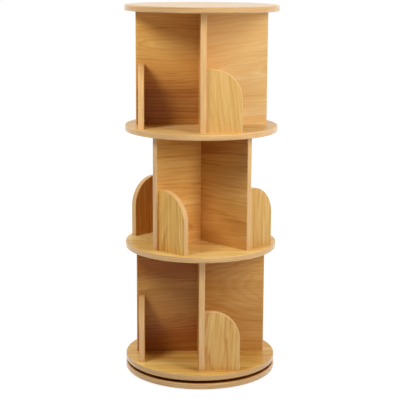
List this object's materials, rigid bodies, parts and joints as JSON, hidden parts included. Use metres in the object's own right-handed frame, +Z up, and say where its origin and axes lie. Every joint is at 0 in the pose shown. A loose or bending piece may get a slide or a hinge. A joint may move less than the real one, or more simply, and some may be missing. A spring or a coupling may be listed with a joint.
{
  "type": "revolving bookcase",
  "caption": "Round wooden bookcase tower with tiers of open compartments and arched book stops, turning on a round base.",
  "frame": {"origin": "centre of the footprint, on the floor under the pads", "axes": "+Z up along the turning axis; -Y is the side seen in the picture, nearly square on, and +X is to its right"},
  "size_m": [0.4, 0.4, 0.971],
  "materials": {
    "oak_disc": "satin lacquered oak, honey coloured, grain running left to right across each round board",
    "oak_panel": "satin lacquered oak, level grain",
    "oak_book_stop": "satin lacquered oak, upright grain",
    "oak_plug": "flush oak plugs, sanded and lacquered with the board",
    "beech_dowel": "plain beech",
    "zinc_screw": "zinc plated steel",
    "turntable_aluminium": "extruded aluminium, anodised dark bronze",
    "cage_nylon": "natural nylon",
    "ball_steel": "polished bearing steel",
    "felt_pad": "pressed felt, brown"
  },
  "bodies": {
    "base": {"base_disc": "oak_disc", "foot_pads": "felt_pad", "turntable_outer_ring": "turntable_aluminium", "outer_ring_screws": "zinc_screw"},
    "ball_ring": {"ball_cage": "cage_nylon", "turntable_balls": "ball_steel"},
    "tower": {"turntable_inner_ring": "turntable_aluminium", "inner_ring_screws": "zinc_screw", "turning_disc": "oak_disc", "third_shelf": "oak_disc", "second_shelf": "oak_disc", "top_disc": "oak_disc", "third_shelf_plugs": "oak_plug", "second_shelf_plugs": "oak_plug", "top_disc_plugs": "oak_plug", "lower_long_panel": "oak_panel", "middle_long_panel": "oak_panel", "upper_long_panel": "oak_panel", "lower_right_panel": "oak_panel", "lower_left_panel": "oak_panel", "middle_back_right_panel": "oak_panel", "middle_front_left_panel": "oak_panel", "upper_right_panel": "oak_panel", "upper_left_panel": "oak_panel", "lower_front_book_stop": "oak_book_stop", "lower_right_book_stop": "oak_book_stop", "lower_back_book_stop": "oak_book_stop", "lower_left_book_stop": "oak_book_stop", "middle_front_right_book_stop": "oak_book_stop", "middle_back_right_book_stop": "oak_book_stop", "middle_back_left_book_stop": "oak_book_stop", "middle_front_left_book_stop": "oak_book_stop", "upper_front_book_stop": "oak_book_stop", "upper_right_book_stop": "oak_book_stop", "upper_back_book_stop": "oak_book_stop", "upper_left_book_stop": "oak_book_stop", "lower_centre_dowels": "beech_dowel", "middle_centre_dowels": "beech_dowel", "upper_centre_dowels": "beech_dowel", "lower_stop_dowels": "beech_dowel", "middle_stop_dowels": "beech_dowel", "upper_stop_dowels": "beech_dowel", "lower_panel_screws": "zinc_screw", "middle_panel_screws": "zinc_screw", "upper_panel_screws": "zinc_screw", "lower_stop_screws": "zinc_screw", "middle_stop_screws": "zinc_screw", "upper_stop_screws": "zinc_screw"}
  },
  "joints": [
    {"name": "tower_spin", "type": "hinge", "parent": "base", "child": "tower", "pos_m": [0, 0, 0.022], "axis": [0, 0, 1], "continuous": true},
    {"name": "ball_ring_roll", "type": "hinge", "parent": "base", "child": "ball_ring", "pos_m": [0, 0, 0.022], "axis": [0, 0, 1], "continuous": true}
  ],
  "couplings": [
    {"joint": "ball_ring_roll", "follows": "tower_spin", "ratio": 0.5}
  ]
}
